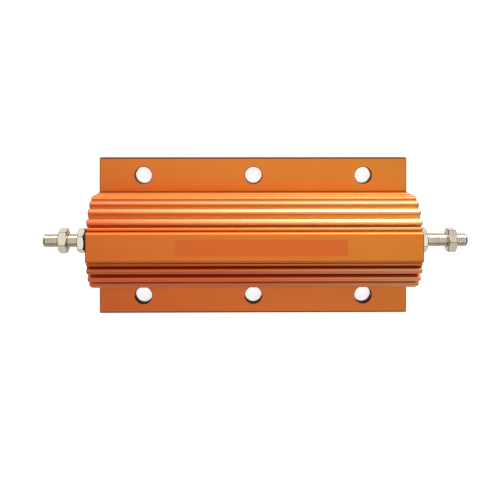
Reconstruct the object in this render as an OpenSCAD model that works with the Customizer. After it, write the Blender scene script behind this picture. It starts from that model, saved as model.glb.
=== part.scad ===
// Aluminium housed power resistor: finned extrusion with a base plate, wire-wound
// ceramic element potted in its bore and a threaded terminal at each end.
// Length runs along X, width along Y, height along Z. Units are millimetres.
// The origin is the centre of the mounting face.

/* [Housing] */
// Length of the extrusion, cut square at both ends
housing_length = 144; // [136:1:170]
// Height from the mounting face to the flat head
housing_height = 41.8; // [41.4:0.1:42.4]
// Width of the base plate
base_width = 73; // [71:0.5:80]
// Thickness of the base plate
base_thickness = 5.3; // [4.8:0.1:6]
// Rounding along the long upper edges of the base plate
base_edge_radius = 0.8; // [0.4:0.1:1.2]
// Height of the bore axis above the mounting face
axis_height = 20.4; // [20.2:0.1:20.8]
// Diameter of the bore that takes the element
bore_diameter = 25; // [24:0.5:26]
// Radius of the round body between the fins
body_radius = 17; // [16.8:0.1:17.2]
// Width across the side fins
body_width = 41; // [40.4:0.2:41.4]
// Width of the solid foot between body and base plate
foot_width = 40.8; // [40:0.2:41]
// Height of the solid foot
foot_height = 12.5; // [11.5:0.5:12.5]
// Concave rounding where the foot meets the base plate
foot_fillet = 0.4; // [0.3:0.1:1]

/* [Head and fins] */
// Width of the flat head
head_width = 13.2; // [12.6:0.2:13.4]
// Rounding of the two edges of the head
head_edge_radius = 1.4; // [0.8:0.1:1.8]
// Angle from one fin to the next
fin_pitch = 14.7; // [14.5:0.1:14.9]
// Radius reached by the upper fins
fin_radius = 21.2; // [20.8:0.1:21.3]
// Thickness of a fin
fin_thickness = 2.7; // [2.4:0.1:2.8]
// Rounding of the fin tips
fin_edge_radius = 0.9; // [0.6:0.1:1]
// Radius of the rounded slot floors
slot_floor_radius = 0.85; // [0.7:0.05:0.9]
// Angle of the thin rib beside the head, measured from the vertical
rib_angle = 22.6; // [22:0.1:23]
// Radius reached by the thin rib
rib_radius = 20.3; // [19.8:0.1:20.6]
// Thickness of the thin rib
rib_thickness = 1.3; // [1:0.1:1.4]

/* [Mounting holes] */
// Diameter of the six holes
hole_diameter = 7.8; // [5.5:0.1:8]
// Distance from one hole to the next along a row
hole_pitch = 51.5; // [40:0.5:55]
// Distance between the two rows
hole_row_spacing = 56.3; // [54:0.1:58]
// Chamfer at both mouths of each hole
hole_chamfer = 0.3; // [0.1:0.1:0.6]

/* [Terminals] */
// Nominal thread diameter of the studs
stud_diameter = 6; // [5:0.5:6]
// Reach of the left stud beyond the housing
left_stud_reach = 22.5; // [20:0.5:28]
// Reach of the right stud beyond the housing
right_stud_reach = 24.2; // [23:0.5:28]
// Rounding at the tip of each stud
stud_tip_radius = 1.2; // [0.5:0.1:1.4]
// Size of the nuts across their flats
nut_across_flats = 10; // [9:0.5:10]
// Thickness of the outer nuts
outer_nut_thickness = 4; // [3.2:0.1:4.4]
// Thickness of the inner nuts
inner_nut_thickness = 3.2; // [2.8:0.1:4]
// Gap from the left plug to the left inner nut
left_inner_nut_gap = 0.1; // [0.1:0.1:1.2]
// Gap from the right plug to the right inner nut
right_inner_nut_gap = 0.1; // [0.1:0.1:1.2]
// Gap between the two left nuts
left_nut_spacing = 4.5; // [2:0.5:6]
// Gap between the two right nuts
right_nut_spacing = 9.1; // [4:0.1:9.5]
// Turn of the left outer nut about its stud
left_outer_nut_turn = 17; // [0:1:30]
// Turn of the left inner nut
left_inner_nut_turn = -4; // [-30:1:30]
// Turn of the right inner nut
right_inner_nut_turn = 8; // [-30:1:30]
// Turn of the right outer nut
right_outer_nut_turn = 27; // [0:1:30]
// Chamfer in the mouths of a nut
nut_mouth_chamfer = 0.5; // [0.3:0.1:0.7]
// Slope of the chamfer on the corners of a nut
nut_chamfer_angle = 30; // [20:1:35]
// Radial play between the stud and a nut
thread_clearance = 0.05; // [0.02:0.01:0.1]

/* [Element] */
// Diameter of the ceramic core
core_diameter = 14; // [12:0.5:15]
// Length of the ceramic core
core_length = 112; // [100:1:112]
// Diameter of the hole along the core
core_hole_diameter = 5; // [4:0.5:7]
// Thickness of the wire layer on the core
winding_thickness = 0.8; // [0.5:0.1:1]
// Bare core between a cap and the wire layer
winding_margin = 1; // [0.5:0.5:3]
// Wall of the end caps
cap_wall = 0.8; // [0.6:0.1:1]
// Length of the cap that grips the core
cap_grip = 8; // [5:0.5:10]
// Play between a cap and the core
cap_clearance = 0.05; // [0.02:0.01:0.1]
// Diameter of the collar that welds each stud to its cap
collar_diameter = 11; // [9:0.5:12]
// Thickness of that collar
collar_thickness = 2; // [1.5:0.1:2.5]

/* [End plugs] */
// Length of the end plug inside the bore
plug_length = 8; // [6:0.5:9]
// Play between the plug and the bore
plug_clearance = 0.05; // [0.02:0.01:0.1]
// Play between the plug and the stud
plug_stud_clearance = 0.05; // [0.02:0.01:0.1]
// Diameter of the raised boss around the stud
boss_diameter = 10; // [9.5:0.5:13]
// Height of the boss on the left plug
left_boss_height = 3.5; // [2:0.1:3.8]
// Height of the boss on the right plug
right_boss_height = 2.4; // [1.6:0.1:3]

/* [View] */
// Sub-part to build, or all of them

/* [Hidden] */
half_length = housing_length / 2;
bore_radius = bore_diameter / 2;
stud_radius = stud_diameter / 2;
core_radius = core_diameter / 2;
winding_radius = core_radius + winding_thickness;
cap_inner_radius = core_radius + cap_clearance;
cap_radius = cap_inner_radius + cap_wall;
cap_face = core_length / 2 + cap_wall;
winding_length = core_length - 2 * cap_grip - 2 * winding_margin;
filling_half = half_length - plug_length;
left_boss_face = half_length + left_boss_height;
right_boss_face = half_length + right_boss_height;
left_inner_nut_at = left_boss_face + left_inner_nut_gap;
left_outer_nut_at = left_inner_nut_at + inner_nut_thickness + left_nut_spacing;
right_inner_nut_at = right_boss_face + right_inner_nut_gap;
right_outer_nut_at = right_inner_nut_at + inner_nut_thickness + right_nut_spacing;
nut_corner_radius = nut_across_flats / 2 / cos(30);
fin_count = 6;
fin_overlap = 4;
rib_edge_radius = rib_thickness * 0.35;
fin_root = body_radius - fin_overlap;
lap = 0.5;
cut_overrun = 1;
bore_fn = 96;
round_fn = 64;
arc_fn = 32;
body_fn = 144;

// Fin angles from the vertical, lowest fin first
function fin_angle(i) = 90 + fin_pitch * (1 - i);
// A side fin stops at the body width, the others at the fin radius
function fin_tip(a) =
    min(fin_radius, (body_width / 2 - fin_thickness / 2 * abs(cos(a))) / sin(a));

// A bar pointing up from the axis with both tip corners rounded
module bar_outline(tip, thickness, edge) {
    translate([-thickness / 2, fin_root]) square([thickness, tip - edge - fin_root]);
    translate([-thickness / 2 + edge, fin_root])
        square([thickness - 2 * edge, tip - fin_root]);
    for (s = [-1, 1])
        translate([s * (thickness / 2 - edge), tip - edge]) circle(edge, $fn = arc_fn);
}

module fins_outline() {
    for (s = [-1, 1]) {
        for (i = [0 : fin_count - 1])
            rotate(-s * fin_angle(i))
                bar_outline(fin_tip(fin_angle(i)), fin_thickness, fin_edge_radius);
        rotate(-s * rib_angle) bar_outline(rib_radius, rib_thickness, rib_edge_radius);
    }
}

module slot_floors() {
    for (s = [-1, 1], i = [0 : fin_count - 2])
        rotate(-s * (fin_angle(i) - fin_pitch / 2))
            translate([0, body_radius]) circle(slot_floor_radius, $fn = arc_fn);
}

module head_outline() {
    w = head_width / 2;
    e = head_edge_radius;
    translate([-w, axis_height]) square([2 * w, housing_height - e - axis_height]);
    translate([-w + e, axis_height]) square([2 * (w - e), housing_height - axis_height]);
    for (s = [-1, 1])
        translate([s * (w - e), housing_height - e]) circle(e, $fn = arc_fn);
}

module base_outline() {
    w = base_width / 2;
    e = base_edge_radius;
    translate([-w, 0]) square([2 * w, base_thickness - e]);
    translate([-w + e, 0]) square([2 * (w - e), base_thickness]);
    for (s = [-1, 1])
        translate([s * (w - e), base_thickness - e]) circle(e, $fn = arc_fn);
}

module foot_outline() {
    w = foot_width / 2;
    e = fin_edge_radius;
    f = foot_fillet;
    translate([-w, 0]) square([2 * w, foot_height - e]);
    translate([-w + e, 0]) square([2 * (w - e), foot_height]);
    for (s = [-1, 1])
        translate([s * (w - e), foot_height - e]) circle(e, $fn = arc_fn);
    for (s = [-1, 1])
        difference() {
            translate([s * (w + f / 2), base_thickness + f / 2]) square(f, center = true);
            translate([s * (w + f), base_thickness + f]) circle(f, $fn = arc_fn);
        }
}

module profile() {
    difference() {
        union() {
            difference() {
                union() {
                    translate([0, axis_height]) circle(body_radius, $fn = body_fn);
                    translate([0, axis_height]) fins_outline();
                }
                translate([0, axis_height]) slot_floors();
            }
            head_outline();
            base_outline();
            foot_outline();
        }
        translate([0, axis_height]) circle(bore_radius, $fn = bore_fn);
    }
}

module mounting_hole() {
    c = hole_chamfer;
    r = hole_diameter / 2;
    translate([0, 0, -cut_overrun])
        cylinder(h = base_thickness + 2 * cut_overrun, r = r, $fn = round_fn);
    translate([0, 0, -lap]) cylinder(h = c + lap, r1 = r + c + lap, r2 = r, $fn = round_fn);
    translate([0, 0, base_thickness - c])
        cylinder(h = c + lap, r1 = r, r2 = r + c + lap, $fn = round_fn);
}

// A cylinder on the bore axis from x0 to x1
module axial(x0, x1, r, fn = round_fn) {
    translate([x0, 0, axis_height]) rotate([0, 90, 0])
        cylinder(h = x1 - x0, r = r, $fn = fn);
}

// A round bar on the bore axis from x0 to x1 with a rounded tip
module axial_tipped(x0, x1, r, edge) {
    translate([x0, 0, axis_height]) rotate([0, 90, 0])
        rotate_extrude($fn = round_fn) {
            square([r, x1 - x0 - edge]);
            square([r - edge, x1 - x0]);
            translate([r - edge, x1 - x0 - edge]) circle(edge, $fn = arc_fn);
        }
}

// A cone frustum on the bore axis from x0 to x1
module axial_cone(x0, x1, r0, r1) {
    translate([x0, 0, axis_height]) rotate([0, 90, 0])
        cylinder(h = x1 - x0, r1 = r0, r2 = r1, $fn = round_fn);
}

module cap_at() {
    difference() {
        axial(core_length / 2 - cap_grip, cap_face, cap_radius);
        axial(core_length / 2 - cap_grip - lap, core_length / 2, cap_inner_radius);
    }
}

module stud_at(reach) {
    axial(cap_face, cap_face + collar_thickness, collar_diameter / 2);
    axial_tipped(cap_face, half_length + reach, stud_radius, stud_tip_radius);
}

// The plug at the +X end, with a boss that reaches to boss_face
module plug_at(boss_face) {
    difference() {
        union() {
            axial(filling_half, half_length, bore_radius - plug_clearance, bore_fn);
            axial(filling_half, boss_face, boss_diameter / 2);
        }
        axial(filling_half - cut_overrun, boss_face + cut_overrun,
              stud_radius + plug_stud_clearance);
    }
}

// A nut whose near face is at x, turned so that a flat leans towards +Y
module nut_at(x, turn, thickness) {
    r = stud_radius + thread_clearance;
    c = nut_mouth_chamfer;
    half = thickness / 2;
    face_r = nut_across_flats / 2 * 0.97;
    waist_r = face_r + half / tan(nut_chamfer_angle);
    difference() {
        intersection() {
            translate([x, 0, axis_height]) rotate([-turn, 0, 0]) rotate([0, 90, 0])
                rotate([0, 0, 30]) cylinder(h = thickness, r = nut_corner_radius, $fn = 6);
            union() {
                axial_cone(x, x + half, face_r, waist_r);
                axial_cone(x + half, x + thickness, waist_r, face_r);
            }
        }
        axial(x - cut_overrun, x + thickness + cut_overrun, r);
        axial_cone(x - lap, x + c, r + c + lap, r);
        axial_cone(x + thickness - c, x + thickness + lap, r, r + c + lap);
    }
}

// Anodised aluminium extrusion
module housing() {
    color([0.85, 0.45, 0.15])
    difference() {
        rotate([90, 0, 90])
            linear_extrude(height = housing_length, center = true) profile();
        for (x = [-hole_pitch, 0, hole_pitch], y = [-hole_row_spacing / 2, hole_row_spacing / 2])
            translate([x, y, 0]) mounting_hole();
    }
}

// Ceramic tube that carries the winding
module core() {
    color([0.93, 0.91, 0.86])
    difference() {
        axial(-core_length / 2, core_length / 2, core_radius);
        axial(-core_length / 2 - cut_overrun, core_length / 2 + cut_overrun,
              core_hole_diameter / 2);
    }
}

// Close-wound resistance wire, one layer
module winding() {
    color([0.45, 0.42, 0.4])
    difference() {
        axial(-winding_length / 2, winding_length / 2, winding_radius);
        axial(-winding_length / 2 - cut_overrun, winding_length / 2 + cut_overrun, core_radius);
    }
}

module left_cap() {
    color([0.7, 0.7, 0.68]) mirror([1, 0, 0]) cap_at();
}

module right_cap() {
    color([0.7, 0.7, 0.68]) cap_at();
}

// Insulating compound cast round the element
module filling() {
    color([0.8, 0.78, 0.72])
    difference() {
        axial(-filling_half, filling_half, bore_radius, bore_fn);
        axial(-cap_face, cap_face, core_radius);
        axial(-winding_length / 2, winding_length / 2, winding_radius);
        for (s = [0, 1]) mirror([s, 0, 0]) {
            axial(core_length / 2 - cap_grip, cap_face, cap_radius);
            axial(cap_face - lap, cap_face + collar_thickness, collar_diameter / 2);
            axial(cap_face, half_length, stud_radius);
        }
    }
}

module left_plug() {
    color([0.48, 0.2, 0.16]) mirror([1, 0, 0]) plug_at(left_boss_face);
}

module right_plug() {
    color([0.48, 0.2, 0.16]) plug_at(right_boss_face);
}

module left_stud() {
    color([0.75, 0.74, 0.72]) mirror([1, 0, 0]) stud_at(left_stud_reach);
}

module right_stud() {
    color([0.75, 0.74, 0.72]) stud_at(right_stud_reach);
}

module left_inner_nut() {
    color([0.78, 0.76, 0.72]) mirror([1, 0, 0])
        nut_at(left_inner_nut_at, left_inner_nut_turn, inner_nut_thickness);
}

module right_inner_nut() {
    color([0.78, 0.76, 0.72])
        nut_at(right_inner_nut_at, right_inner_nut_turn, inner_nut_thickness);
}

module left_outer_nut() {
    color([0.78, 0.76, 0.72]) mirror([1, 0, 0])
        nut_at(left_outer_nut_at, left_outer_nut_turn, outer_nut_thickness);
}

module right_outer_nut() {
    color([0.78, 0.76, 0.72])
        nut_at(right_outer_nut_at, right_outer_nut_turn, outer_nut_thickness);
}

housing();
core();
winding();
left_cap();
right_cap();
filling();
left_plug();
right_plug();
left_stud();
right_stud();
left_inner_nut();
right_inner_nut();
left_outer_nut();
right_outer_nut();
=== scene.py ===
import math
import bmesh
import bpy
from mathutils import Matrix, Vector


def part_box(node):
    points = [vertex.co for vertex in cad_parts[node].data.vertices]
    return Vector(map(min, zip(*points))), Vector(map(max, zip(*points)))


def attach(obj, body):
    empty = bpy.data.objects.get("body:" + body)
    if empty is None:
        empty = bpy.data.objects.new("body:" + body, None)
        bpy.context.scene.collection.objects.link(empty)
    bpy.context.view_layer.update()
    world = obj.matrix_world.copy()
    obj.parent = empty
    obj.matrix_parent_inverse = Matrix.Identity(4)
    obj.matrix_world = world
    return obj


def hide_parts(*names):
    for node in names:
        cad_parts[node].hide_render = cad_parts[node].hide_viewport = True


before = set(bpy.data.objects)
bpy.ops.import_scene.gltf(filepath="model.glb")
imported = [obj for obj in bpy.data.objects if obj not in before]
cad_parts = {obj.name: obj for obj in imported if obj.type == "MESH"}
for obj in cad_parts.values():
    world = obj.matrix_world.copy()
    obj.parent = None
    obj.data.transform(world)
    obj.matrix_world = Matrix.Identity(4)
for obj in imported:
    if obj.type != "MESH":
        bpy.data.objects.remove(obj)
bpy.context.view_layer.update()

# Camera: a long lens looking straight down on the resistor from a little beyond
# the middle of its far flange, with the picture slid down to take the part in.
bpy.ops.object.camera_add()
camera = bpy.context.object
camera.name = "camera"
camera.data.sensor_fit = "HORIZONTAL"
camera.data.sensor_width = 36.0
camera.data.lens = 58.115
camera.data.shift_y = -0.24
camera.data.clip_start = 0.01
camera.data.clip_end = 10.0
camera_turn = Matrix(((0.999886, -0.000155, -0.015073),
                      (0.000304, 0.999951, 0.009942),
                      (0.015071, -0.009946, 0.999837)))
camera_place = Vector((-0.00733, 0.05708, 0.38336))
camera.matrix_world = Matrix.Translation(camera_place) @ camera_turn.to_4x4()
bpy.context.scene.camera = camera
bpy.context.scene.view_settings.view_transform = "Standard"


# Housing: one aluminium extrusion with fins round its bore and a base plate
# under it, sawn to length, drilled, deburred by tumbling and then dyed
# orange-gold in the anodising bath.
def merged_copy(node, name):
    bpy.ops.object.select_all(action="DESELECT")
    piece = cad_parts[node].copy()
    piece.data = piece.data.copy()
    piece.name = name
    piece.data.name = name
    piece.parent = None
    piece.matrix_world = Matrix.Identity(4)
    bpy.context.collection.objects.link(piece)
    bpy.context.view_layer.objects.active = piece
    piece.select_set(True)
    piece.data.materials.clear()
    bpy.ops.object.mode_set(mode="EDIT")
    bpy.ops.mesh.customdata_custom_splitnormals_clear()
    bpy.ops.mesh.select_all(action="SELECT")
    bpy.ops.mesh.remove_doubles(threshold=0.000002)
    bpy.ops.mesh.dissolve_limited(angle_limit=math.radians(0.5))
    bpy.ops.object.mode_set(mode="OBJECT")
    return piece


def bevel_edges(piece, width, segments, finish, test):
    bpy.ops.object.mode_set(mode="EDIT")
    bpy.ops.mesh.select_mode(type="EDGE")
    bpy.ops.mesh.select_all(action="DESELECT")
    shape = bmesh.from_edit_mesh(piece.data)
    for edge in shape.edges:
        if len(edge.link_faces) == 2 and test(edge, *edge.link_faces):
            edge.select = True
    bmesh.update_edit_mesh(piece.data)
    bpy.ops.mesh.bevel(offset=width, segments=segments, affect="EDGES",
                       clamp_overlap=False, material=finish)
    bpy.ops.object.mode_set(mode="OBJECT")


def even_shading(piece, angle):
    bpy.ops.object.shade_smooth_by_angle(angle=math.radians(angle))
    piece.modifiers.new("even", "WEIGHTED_NORMAL").keep_sharp = True
    bpy.ops.object.modifier_apply(modifier="even")


def linear(hex_colour):
    parts = [int(hex_colour[i:i + 2], 16) / 255 for i in (1, 3, 5)]
    return [c / 12.92 if c <= 0.04045 else ((c + 0.055) / 1.055) ** 2.4 for c in parts] + [1]


def add_node(tree, kind, settings=None, **links):
    made = tree.nodes.new(kind)
    for key, value in (settings or {}).items():
        if isinstance(key, int) or key in made.inputs:
            made.inputs[key].default_value = value
        else:
            setattr(made, key, value)
    for key, source in links.items():
        socket = int(key[1:]) if key[1:].isdigit() else key.replace("_", " ")
        tree.links.new(source, made.inputs[socket])
    return made


def new_material(name):
    made = bpy.data.materials.new(name)
    made.use_nodes = True
    made.node_tree.nodes.clear()
    return made, made.node_tree


housing = merged_copy("housing", "anodised_housing")
half_length, half_width, head_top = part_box("housing")[1]

# Orange anodised aluminium: a dyed oxide skin over etched metal, so a metal of
# deep orange that scatters part of the light in the skin, under a thin clear
# coat. The extrusion die leaves faint lengthwise lines 0.7 mm apart.
orange, tree = new_material("orange_anodised_aluminium")
place = add_node(tree, "ShaderNodeTexCoord")
spot = add_node(tree, "ShaderNodeSeparateXYZ", Vector=place.outputs["Object"])
drawn = add_node(tree, "ShaderNodeMapping", {"Scale": (0.004, 1.0, 1.0)},
                 Vector=place.outputs["Object"])
die_lines = add_node(tree, "ShaderNodeTexNoise", {"Scale": 1500.0, "Detail": 3.0},
                     Vector=drawn.outputs[0])

# The dye bath: redder clouds about 36 mm across where it took unevenly. The
# colour also runs more golden towards the far right corner, on the side the
# windows light: that gradient is painted light.
lit_corner_lean = add_node(tree, "ShaderNodeVectorMath", {"operation": "DOT_PRODUCT", 1: (3.8, 9.4, 0.0)},
                i0=place.outputs["Object"])
lit_corner_blend = add_node(tree, "ShaderNodeMapRange", {"From Min": -0.6, "From Max": 0.4},
                  Value=lit_corner_lean.outputs["Value"])
bath_with_painted_light = add_node(tree, "ShaderNodeMix", {"data_type": "RGBA", 6: linear("#F26A08"),
                                        7: linear("#F29018")}, i0=lit_corner_blend.outputs[0])
dye_patches = add_node(tree, "ShaderNodeTexNoise", {"Scale": 28.0, "Detail": 2.0},
                       Vector=place.outputs["Object"])
uneven = add_node(tree, "ShaderNodeMapRange",
                  {"From Min": 0.35, "From Max": 0.65, "To Min": 0.0, "To Max": 0.2},
                  Value=dye_patches.outputs[0])
patchy_dye_and_painted_light = add_node(tree, "ShaderNodeMix", {"data_type": "RGBA", 7: linear("#E46C10")},
               i0=uneven.outputs[0], i6=bath_with_painted_light.outputs[2])

# Slots between the fins: painted shade and painted light, a deep red-orange on
# the near side, where the slots lie in shadow, and a golden one on the far side,
# where the windows light them, most golden towards the far right corner. They
# are found by height and by distance from the bore's axis.
axis_height = 0.0204
fins_from, fins_full = 0.0125, 0.0135
slot_mouth, slot_floor = 0.0203, 0.0190
out = add_node(tree, "ShaderNodeMapping", {"Location": (0.0, 0.0, -axis_height),
                                           "Scale": (0.0, 1.0, 1.0)},
               Vector=place.outputs["Object"])
radius = add_node(tree, "ShaderNodeVectorMath", {"operation": "LENGTH"}, i0=out.outputs[0])
deep = add_node(tree, "ShaderNodeMapRange", {"From Min": slot_mouth, "From Max": slot_floor},
                Value=radius.outputs["Value"])
high = add_node(tree, "ShaderNodeMapRange", {"From Min": fins_from, "From Max": fins_full},
                Value=spot.outputs["Z"])
in_slot = add_node(tree, "ShaderNodeMath", {"operation": "MULTIPLY"},
                   i0=deep.outputs[0], i1=high.outputs[0])
lit_side = add_node(tree, "ShaderNodeMapRange", {"From Min": -0.004, "From Max": 0.004},
                    Value=spot.outputs["Y"])
painted_slot_light = add_node(tree, "ShaderNodeMix", {"data_type": "RGBA", 6: linear("#FA9C40"),
                                             7: linear("#FFE8AC")}, i0=lit_corner_blend.outputs[0])
slot_painted_light_and_shade = add_node(tree, "ShaderNodeMix", {"data_type": "RGBA", 6: linear("#E8500A")},
                    i0=lit_side.outputs[0], i7=painted_slot_light.outputs[2])
with_slot_light_and_shade = add_node(tree, "ShaderNodeMix", {"data_type": "RGBA"}, i0=in_slot.outputs[0],
                   i6=patchy_dye_and_painted_light.outputs[2], i7=slot_painted_light_and_shade.outputs[2])

# Fin tips: painted highlight, a paler colour on the tips, most on the upper fins
# and palest towards the far right corner, where the windows light them.
tip_from, tip_full = 0.0201, 0.0206
head_side, head_clear = 0.0068, 0.0071
upper_from, upper_full = 0.023, 0.036
tip = add_node(tree, "ShaderNodeMapRange", {"From Min": tip_from, "From Max": tip_full},
               Value=radius.outputs["Value"])
sideways = add_node(tree, "ShaderNodeMath", {"operation": "ABSOLUTE"}, i0=spot.outputs["Y"])
off_head = add_node(tree, "ShaderNodeMapRange", {"From Min": head_side, "From Max": head_clear},
                    Value=sideways.outputs[0])
fin_tip = add_node(tree, "ShaderNodeMath", {"operation": "MULTIPLY"},
                   i0=tip.outputs[0], i1=off_head.outputs[0])
raised = add_node(tree, "ShaderNodeMapRange", {"From Min": upper_from, "From Max": upper_full},
                  Value=spot.outputs["Z"])
painted_tip_highlight = add_node(tree, "ShaderNodeMath", {"operation": "MULTIPLY"},
                  i0=fin_tip.outputs[0], i1=raised.outputs[0])
tip_highlight_lean = add_node(tree, "ShaderNodeMapRange", {"From Min": -0.15, "From Max": 0.35},
                Value=lit_corner_lean.outputs["Value"])
tip_highlight_colour = add_node(tree, "ShaderNodeMix", {"data_type": "RGBA", 6: linear("#F67638"),
                                           7: linear("#FFCC8E")}, i0=tip_highlight_lean.outputs[0])
with_tip_highlight = add_node(tree, "ShaderNodeMix", {"data_type": "RGBA"}, i0=painted_tip_highlight.outputs[0],
                  i6=with_slot_light_and_shade.outputs[2], i7=tip_highlight_colour.outputs[2])

# Marking field: 73.5 by 7 mm on the head, left bare, a shade deeper.
field_middle, field_half_length, field_half_width = 0.00275, 0.03675, 0.0035
in_length = add_node(tree, "ShaderNodeMath",
                     {"operation": "COMPARE", 1: field_middle, 2: field_half_length},
                     i0=spot.outputs["X"])
in_width = add_node(tree, "ShaderNodeMath", {"operation": "COMPARE", 1: 0.0, 2: field_half_width},
                    i0=spot.outputs["Y"])
on_top = add_node(tree, "ShaderNodeMath", {"operation": "COMPARE", 1: head_top, 2: 0.0002},
                  i0=spot.outputs["Z"])
strip = add_node(tree, "ShaderNodeMath", {"operation": "MULTIPLY"},
                 i0=in_length.outputs[0], i1=in_width.outputs[0])
field = add_node(tree, "ShaderNodeMath", {"operation": "MULTIPLY"},
                 i0=strip.outputs[0], i1=on_top.outputs[0])
skin = add_node(tree, "ShaderNodeMix", {"data_type": "RGBA", 7: linear("#EE6E06")},
                i0=field.outputs[0], i6=with_tip_highlight.outputs[2])

# Inner corner between foot and plate: painted shade, a dull brown band where
# the corner lies in shadow.
foot_side = 0.0206
corner_from, corner_full = 0.0095, 0.0075
inside_plate = 0.002
beside = add_node(tree, "ShaderNodeMath", {"operation": "COMPARE", 1: 0.0, 2: foot_side},
                  i0=spot.outputs["Y"])
low_down = add_node(tree, "ShaderNodeMapRange", {"From Min": corner_from, "From Max": corner_full},
                    Value=spot.outputs["Z"])
above_plate = add_node(tree, "ShaderNodeMath", {"operation": "GREATER_THAN", 1: inside_plate},
                       i0=spot.outputs["Z"])
fillet = add_node(tree, "ShaderNodeMath", {"operation": "MULTIPLY"},
                  i0=beside.outputs[0], i1=low_down.outputs[0])
painted_corner_shade = add_node(tree, "ShaderNodeMath", {"operation": "MULTIPLY"},
                  i0=fillet.outputs[0], i1=above_plate.outputs[0])
colour = add_node(tree, "ShaderNodeMix", {"data_type": "RGBA", 7: linear("#8A3A08")},
                  i0=painted_corner_shade.outputs[0], i6=skin.outputs[2])
roughness = add_node(tree, "ShaderNodeMapRange",
                     {"From Min": 0.3, "From Max": 0.7, "To Min": 0.36, "To Max": 0.44},
                     Value=die_lines.outputs[0])
relief = add_node(tree, "ShaderNodeBump", {"Strength": 0.15, "Distance": 0.00001},
                  Height=die_lines.outputs[0])
shell = add_node(tree, "ShaderNodeBsdfPrincipled",
                 {"Metallic": 0.7, "Coat Weight": 0.4, "Coat Roughness": 0.2,
                  "Coat IOR": 1.6},
                 Base_Color=colour.outputs[2], Roughness=roughness.outputs[0],
                 Normal=relief.outputs[0])
add_node(tree, "ShaderNodeOutputMaterial", Surface=shell.outputs[0])
housing.data.materials.append(orange)

# Tumbled rims of anodised aluminium: the tumbling rounds every cut edge and
# leaves nicks about 1 mm long, and the dye goes dark brown there, so each plate
# edge, hole and sawn end has a thin dull outline. On the walls of the holes the
# same dark brown is painted shade.
rims_and_painted_shade, tree = new_material("tumbled_dark_rims_and_painted_shade")
place = add_node(tree, "ShaderNodeTexCoord")
nicks = add_node(tree, "ShaderNodeTexNoise", {"Scale": 900.0, "Detail": 3.0},
                 Vector=place.outputs["Object"])
brown = add_node(tree, "ShaderNodeMix", {"data_type": "RGBA", 6: linear("#5C2808"),
                                         7: linear("#80401A")}, i0=nicks.outputs[0])
dents = add_node(tree, "ShaderNodeBump", {"Strength": 0.3, "Distance": 0.00003},
                 Height=nicks.outputs[0])
shell = add_node(tree, "ShaderNodeBsdfPrincipled", {"Metallic": 0.3, "Roughness": 0.6},
                 Base_Color=brown.outputs[2], Normal=dents.outputs[0])
add_node(tree, "ShaderNodeOutputMaterial", Surface=shell.outputs[0])
housing.data.materials.append(rims_and_painted_shade)

# Sawn ends of anodised aluminium: the saw leaves fine straight marks across the
# end, 0.8 mm apart here to be seen, and the dyed skin over them is duller.
sawn, tree = new_material("sawn_anodised_aluminium")
place = add_node(tree, "ShaderNodeTexCoord")
leaning = add_node(tree, "ShaderNodeMapping", {"Rotation": (math.radians(12), 0, 0)},
                   Vector=place.outputs["Object"])
marks = add_node(tree, "ShaderNodeTexWave",
                 {"bands_direction": "Y", "Scale": 393.0, "Distortion": 1.5,
                  "Detail": 2.0, "Detail Scale": 0.6}, Vector=leaning.outputs[0])
cut = add_node(tree, "ShaderNodeMix", {"data_type": "RGBA", 6: linear("#C9601E"),
                                       7: linear("#EC8A3C")}, i0=marks.outputs[1])
roughness = add_node(tree, "ShaderNodeMapRange", {"To Min": 0.42, "To Max": 0.58},
                     Value=marks.outputs[1])
scratches = add_node(tree, "ShaderNodeBump", {"Strength": 0.3, "Distance": 0.00004},
                     Height=marks.outputs[1])
shell = add_node(tree, "ShaderNodeBsdfPrincipled", {"Metallic": 0.5, "Coat Weight": 0.3,
                                                    "Coat Roughness": 0.3, "Coat IOR": 1.6},
                 Base_Color=cut.outputs[2], Roughness=roughness.outputs[0],
                 Normal=scratches.outputs[0])
add_node(tree, "ShaderNodeOutputMaterial", Surface=shell.outputs[0])
housing.data.materials.append(sawn)

# The rims are bevelled round both ends and along the plate's lower edges. The
# plate's slanting sides take the rim finish as well, and the walls of its holes
# take its dark brown as painted shade.
rim = 0.00035
plate_edge = half_width - 0.0005
plate_top = 0.006
foot_half_width = 0.02
hole_row_from, hole_row_to = 0.022, 0.034
hole_row_end = half_length - 0.01
bevel_edges(housing, rim, 2, 1, lambda edge, a, b:
            {abs(a.normal.x) > 0.99, abs(b.normal.x) > 0.99} == {True, False})
bevel_edges(housing, rim, 2, 1, lambda edge, a, b:
            {a.normal.z < -0.99, b.normal.z < -0.99} == {True, False}
            and abs(edge.verts[0].co.y) > plate_edge)
for face in housing.data.polygons:
    x, y, z = face.center
    upright = abs(face.normal.z) < 0.02
    slanting = 0.02 < abs(face.normal.z) < 0.98
    low = z < plate_top
    in_hole_row = hole_row_from < abs(y) < hole_row_to and abs(x) < hole_row_end
    if face.normal.x ** 2 > 0.98:
        face.material_index = 2
    elif low and slanting and abs(y) > foot_half_width:
        face.material_index = 1
    # Hole walls: the rims' dark brown here is painted shade.
    elif low and upright and in_hole_row:
        face.material_index = 1
even_shading(housing, 34)
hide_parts("housing")
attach(housing, "root")


# Element: a steatite tube with nickel-chrome wire wound on it and a pressed steel
# cap at each end, potted in cement. It is all out of sight in the bore.
def dress(node, finish):
    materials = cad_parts[node].data.materials
    materials.clear()
    materials.append(finish)


# Glazed steatite: fired ceramic, cream with faint clouds 8 mm across, and a soft
# shine from its glaze.
ceramic, tree = new_material("glazed_steatite")
place = add_node(tree, "ShaderNodeTexCoord")
cloud = add_node(tree, "ShaderNodeTexNoise", {"Scale": 120.0, "Detail": 4.0},
                 Vector=place.outputs["Object"])
cream = add_node(tree, "ShaderNodeMix", {"data_type": "RGBA", 6: linear("#E9E2D2"),
                                         7: linear("#D8CDB8")}, i0=cloud.outputs[0])
shell = add_node(tree, "ShaderNodeBsdfPrincipled", {"Roughness": 0.35},
                 Base_Color=cream.outputs[2])
add_node(tree, "ShaderNodeOutputMaterial", Surface=shell.outputs[0])
dress("core", ceramic)

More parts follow.
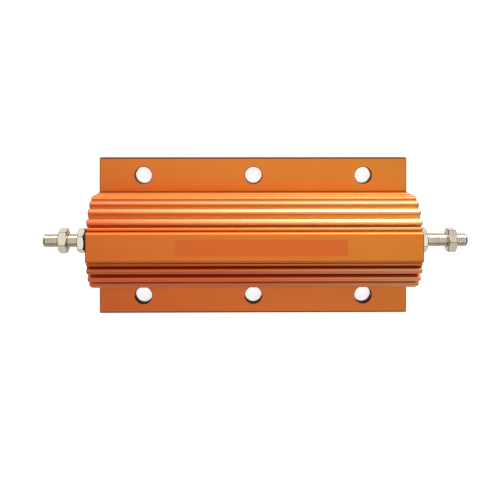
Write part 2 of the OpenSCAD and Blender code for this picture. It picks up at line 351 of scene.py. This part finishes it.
# Nickel-chrome wire: bare drawn wire in turns 0.8 mm apart, dull grey between
# bright crowns.
turn_pitch = 0.0008
wire, tree = new_material("nickel_chrome_wire")
place = add_node(tree, "ShaderNodeTexCoord")
turns = add_node(tree, "ShaderNodeTexWave",
                 {"bands_direction": "X", "Scale": 0.314159 / turn_pitch},
                 Vector=place.outputs["Object"])
crowns = add_node(tree, "ShaderNodeMix", {"data_type": "RGBA", 6: linear("#5B564F"),
                                          7: linear("#BDB6AA")}, i0=turns.outputs[1])
rounds = add_node(tree, "ShaderNodeBump", {"Strength": 0.8, "Distance": 0.0003},
                  Height=turns.outputs[1])
shell = add_node(tree, "ShaderNodeBsdfPrincipled", {"Metallic": 1.0, "Roughness": 0.35},
                 Base_Color=crowns.outputs[2], Normal=rounds.outputs[0])
add_node(tree, "ShaderNodeOutputMaterial", Surface=shell.outputs[0])
dress("winding", wire)

# Pressed steel caps: thin plated sheet, pressed to a cup, with a satin look that
# varies in patches 2.5 mm across.
pressed, tree = new_material("pressed_plated_steel")
place = add_node(tree, "ShaderNodeTexCoord")
satin = add_node(tree, "ShaderNodeTexNoise", {"Scale": 400.0, "Detail": 3.0},
                 Vector=place.outputs["Object"])
roughness = add_node(tree, "ShaderNodeMapRange", {"To Min": 0.28, "To Max": 0.42},
                     Value=satin.outputs[0])
shell = add_node(tree, "ShaderNodeBsdfPrincipled",
                 {"Base Color": linear("#B9B6AF"), "Metallic": 1.0},
                 Roughness=roughness.outputs[0])
add_node(tree, "ShaderNodeOutputMaterial", Surface=shell.outputs[0])
dress("left_cap", pressed)
dress("right_cap", pressed)

# Potting cement: poured round the element and baked hard, chalky grey with grit
# drawn 0.8 mm across, coarser than the real sand, so that it shows.
cement, tree = new_material("potting_cement")
place = add_node(tree, "ShaderNodeTexCoord")
grit = add_node(tree, "ShaderNodeTexNoise", {"Scale": 1200.0, "Detail": 5.0},
                Vector=place.outputs["Object"])
chalk = add_node(tree, "ShaderNodeMix", {"data_type": "RGBA", 6: linear("#A9A59B"),
                                         7: linear("#CBC7BC")}, i0=grit.outputs[0])
grains = add_node(tree, "ShaderNodeBump", {"Strength": 0.6, "Distance": 0.0001},
                  Height=grit.outputs[0])
shell = add_node(tree, "ShaderNodeBsdfPrincipled", {"Roughness": 0.9},
                 Base_Color=chalk.outputs[2], Normal=grains.outputs[0])
add_node(tree, "ShaderNodeOutputMaterial", Surface=shell.outputs[0])
dress("filling", cement)

# End plugs: silicone rubber moulded dark red-brown, pressed into the bore, with
# a round boss that the inner nut sits against. It is matt, with a faint bloom in
# patches 3 mm across.
silicone, tree = new_material("red_brown_silicone")
place = add_node(tree, "ShaderNodeTexCoord")
bloom = add_node(tree, "ShaderNodeTexNoise", {"Scale": 350.0, "Detail": 3.0},
                 Vector=place.outputs["Object"])
rubber = add_node(tree, "ShaderNodeMix", {"data_type": "RGBA", 6: linear("#4E150D"),
                                          7: linear("#6E2418")}, i0=bloom.outputs[0])
roughness = add_node(tree, "ShaderNodeMapRange", {"To Min": 0.5, "To Max": 0.7},
                     Value=bloom.outputs[0])
grain = add_node(tree, "ShaderNodeBump", {"Strength": 0.25, "Distance": 0.00005},
                 Height=bloom.outputs[0])
shell = add_node(tree, "ShaderNodeBsdfPrincipled", Base_Color=rubber.outputs[2],
                 Roughness=roughness.outputs[0], Normal=grain.outputs[0])
add_node(tree, "ShaderNodeOutputMaterial", Surface=shell.outputs[0])
dress("left_plug", silicone)
dress("right_plug", silicone)

# Terminal studs: 6 mm steel rod, rolled with a 1 mm thread and nickel plated,
# spot-welded to the element's caps. The thread is drawn shallow, 0.2 mm deep,
# and the warm bright plating carries a film in patches 4 mm across.
stud_radius, thread_pitch, thread_depth = 0.003, 0.001, 0.0002
plated, tree = new_material("nickel_plated_steel")
place = add_node(tree, "ShaderNodeTexCoord")
film = add_node(tree, "ShaderNodeTexNoise", {"Scale": 260.0, "Detail": 3.0},
                Vector=place.outputs["Object"])
nickel = add_node(tree, "ShaderNodeMix", {"data_type": "RGBA", 6: linear("#D6CAB2"),
                                          7: linear("#EDE5D4")}, i0=film.outputs[0])
roughness = add_node(tree, "ShaderNodeMapRange", {"To Min": 0.18, "To Max": 0.26},
                     Value=film.outputs[0])
shell = add_node(tree, "ShaderNodeBsdfPrincipled", {"Metallic": 1.0},
                 Base_Color=nickel.outputs[2], Roughness=roughness.outputs[0])
add_node(tree, "ShaderNodeOutputMaterial", Surface=shell.outputs[0])


def thread_stud(side):
    stud = merged_copy(side + "_stud", side + "_threaded_stud")
    low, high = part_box(side + "_stud")
    axis = (low.z + high.z) / 2
    away = 1 if side == "right" else -1
    tip = high.x if away > 0 else low.x
    start = away * (half_length - 0.001)
    turns = math.ceil((abs(tip) - abs(start)) / thread_pitch) + 1
    outer, root = stud_radius + 0.0001, stud_radius - thread_depth
    bpy.ops.object.select_all(action="DESELECT")
    bpy.ops.mesh.primitive_plane_add(size=1.0)
    coil = bpy.context.object
    wide, narrow = 0.36 * thread_pitch, 0.06 * thread_pitch
    corners = ((-wide, outer), (wide, outer), (-narrow, root), (narrow, root))
    for vertex, (dx, r) in zip(coil.data.vertices, corners):
        vertex.co = (dx, 0.0, r)
    bpy.ops.object.mode_set(mode="EDIT")
    bpy.ops.mesh.select_all(action="SELECT")
    bpy.ops.mesh.delete(type="ONLY_FACE")
    bpy.ops.object.mode_set(mode="OBJECT")
    screw = coil.modifiers.new("turns", "SCREW")
    screw.axis = "X"
    screw.angle = math.tau
    screw.screw_offset = away * thread_pitch
    screw.iterations = turns
    screw.steps = screw.render_steps = 32
    bpy.ops.object.modifier_apply(modifier="turns")
    coil.location = (start, 0.0, axis)
    bpy.ops.object.transform_apply(location=True, rotation=False, scale=False)
    bpy.ops.object.mode_set(mode="EDIT")
    bpy.ops.mesh.select_all(action="SELECT")
    bpy.ops.mesh.remove_doubles(threshold=0.000001)
    bpy.ops.mesh.select_all(action="DESELECT")
    bpy.ops.mesh.select_non_manifold()
    bpy.ops.mesh.fill()
    bpy.ops.mesh.select_all(action="SELECT")
    bpy.ops.mesh.normals_make_consistent(inside=False)
    bpy.ops.object.mode_set(mode="OBJECT")
    bpy.ops.object.select_all(action="DESELECT")
    bpy.context.view_layer.objects.active = stud
    stud.select_set(True)
    cut = stud.modifiers.new("thread", "BOOLEAN")
    cut.operation = "DIFFERENCE"
    cut.solver = "EXACT"
    cut.object = coil
    bpy.ops.object.modifier_apply(modifier="thread")
    bpy.data.objects.remove(coil)
    even_shading(stud, 34)
    stud.data.materials.append(plated)
    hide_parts(side + "_stud")
    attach(stud, "root")


thread_stud("left")
thread_stud("right")

# Nuts: 10 mm across flats, cold formed with chamfered corners and nickel plated
# like the studs. The tumbled plating is clouded in patches 2.4 mm across on the
# flats, and dull brown along the edges.
nut_edge = 0.00012
tumbled, tree = new_material("tumbled_nickel_plate")
place = add_node(tree, "ShaderNodeTexCoord")
cloudy = add_node(tree, "ShaderNodeTexNoise", {"Scale": 420.0, "Detail": 4.0},
                  Vector=place.outputs["Object"])
nickel = add_node(tree, "ShaderNodeMix", {"data_type": "RGBA", 6: linear("#F0E4CA"),
                                          7: linear("#FFF8EA")}, i0=cloudy.outputs[0])
roughness = add_node(tree, "ShaderNodeMapRange", {"To Min": 0.14, "To Max": 0.24},
                     Value=cloudy.outputs[0])
dents = add_node(tree, "ShaderNodeBump", {"Strength": 0.35, "Distance": 0.00006},
                 Height=cloudy.outputs[0])
shell = add_node(tree, "ShaderNodeBsdfPrincipled", {"Metallic": 1.0},
                 Base_Color=nickel.outputs[2], Roughness=roughness.outputs[0],
                 Normal=dents.outputs[0])
add_node(tree, "ShaderNodeOutputMaterial", Surface=shell.outputs[0])

# Dull nut edges: plating worn thin on the corners, brown-grey with a grain of
# 1.4 mm, which draws a thin line between the flats.
dull, tree = new_material("dull_nut_edges")
place = add_node(tree, "ShaderNodeTexCoord")
worn = add_node(tree, "ShaderNodeTexNoise", {"Scale": 700.0, "Detail": 2.0},
                Vector=place.outputs["Object"])
brown = add_node(tree, "ShaderNodeMix", {"data_type": "RGBA", 6: linear("#43392C"),
                                         7: linear("#766852")}, i0=worn.outputs[0])
shell = add_node(tree, "ShaderNodeBsdfPrincipled", {"Metallic": 0.8, "Roughness": 0.45},
                 Base_Color=brown.outputs[2])
add_node(tree, "ShaderNodeOutputMaterial", Surface=shell.outputs[0])

for node in ("left_inner_nut", "right_inner_nut", "left_outer_nut", "right_outer_nut"):
    nut = merged_copy(node, node.replace("nut", "hex_nut"))
    nut.data.materials.append(tumbled)
    nut.data.materials.append(dull)
    bevel_edges(nut, nut_edge, 2, 1, lambda edge, a, b: a.normal.angle(b.normal) > 0.44)
    even_shading(nut, 30)
    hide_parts(node)
    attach(nut, "root")

# Floor: a plain white sheet that the resistor lies on, 0.1 mm below it. It looks
# white from above, it keeps the shadow, and from below it is see-through.
bpy.ops.object.select_all(action="DESELECT")
bpy.ops.mesh.primitive_plane_add(size=6.0, location=(0, 0, -0.0001))
floor = bpy.context.object
floor.name = "floor"
white, tree = new_material("white_floor")
paper = add_node(tree, "ShaderNodeBsdfDiffuse", {"Color": (0.9, 0.9, 0.9, 1)})
path = add_node(tree, "ShaderNodeLightPath")
seen = add_node(tree, "ShaderNodeMath", {"operation": "MAXIMUM"},
                i0=path.outputs["Is Glossy Ray"], i1=path.outputs["Is Transmission Ray"])
faint = add_node(tree, "ShaderNodeMath", {"operation": "MULTIPLY", 1: 0.15}, i0=seen.outputs[0])
place = add_node(tree, "ShaderNodeTexCoord")
reach = add_node(tree, "ShaderNodeVectorMath", {"operation": "LENGTH"},
                 i0=place.outputs["Object"])
outward = add_node(tree, "ShaderNodeMapRange", {"From Min": 0.3, "From Max": 0.7,
                                                "To Min": 0.75, "To Max": 1.0},
                   Value=reach.outputs["Value"])
lift = add_node(tree, "ShaderNodeMath", {"operation": "MULTIPLY_ADD"},
                i0=path.outputs["Is Camera Ray"], i1=outward.outputs[0],
                i2=faint.outputs[0])
glow = add_node(tree, "ShaderNodeEmission", Strength=lift.outputs[0])
both = add_node(tree, "ShaderNodeAddShader", i0=paper.outputs[0], i1=glow.outputs[0])
face = add_node(tree, "ShaderNodeNewGeometry")
clear = add_node(tree, "ShaderNodeBsdfTransparent")
sheet = add_node(tree, "ShaderNodeMixShader", i0=face.outputs["Backfacing"],
                 i1=both.outputs[0], i2=clear.outputs[0])
add_node(tree, "ShaderNodeOutputMaterial", Surface=sheet.outputs[0])
floor.data.materials.append(white)


# Lights: a broad soft window beyond the far flange and a smaller, brighter one
# towards the right, an even light from straight above, and a faint low strip on
# the near side, which draws the lower fins.
def softbox(name, place, aim, size, power):
    bpy.ops.object.light_add(type="AREA", location=place)
    box = bpy.context.object
    box.name = name
    box.data.shape = "RECTANGLE"
    box.data.size, box.data.size_y = size
    box.data.energy = power
    box.visible_camera = False
    box.rotation_euler = (Vector(place) - Vector(aim)).to_track_quat("Z", "Y").to_euler()


softbox("overhead", (0.05, 0, 1.1), (0, 0, 0), (2.2, 1.0), 5.5)
softbox("window", (0, 1.25, 0.45), (0, 0, 0.45), (2.2, 0.8), 13.5)
softbox("bright_window", (0.42, 1.2, 0.42), (0, 0, 0.42), (0.8, 0.5), 8.5)
softbox("low_strip", (0, -1.2, 0.4), (0, 0, 0.3), (2.0, 0.3), 1.0)

# Room: an even pale room that fills the shadows, and is white behind the part.
world = bpy.data.worlds.new("room")
bpy.context.scene.world = world
world.use_nodes = True
tree = world.node_tree
tree.nodes.clear()
path = add_node(tree, "ShaderNodeLightPath")
strength = add_node(tree, "ShaderNodeMapRange", {"To Min": 0.12, "To Max": 1.0},
                    Value=path.outputs["Is Camera Ray"])
sky = add_node(tree, "ShaderNodeBackground", {"Color": (1, 1, 1, 1)},
               Strength=strength.outputs[0])
add_node(tree, "ShaderNodeOutputWorld", Surface=sky.outputs[0])
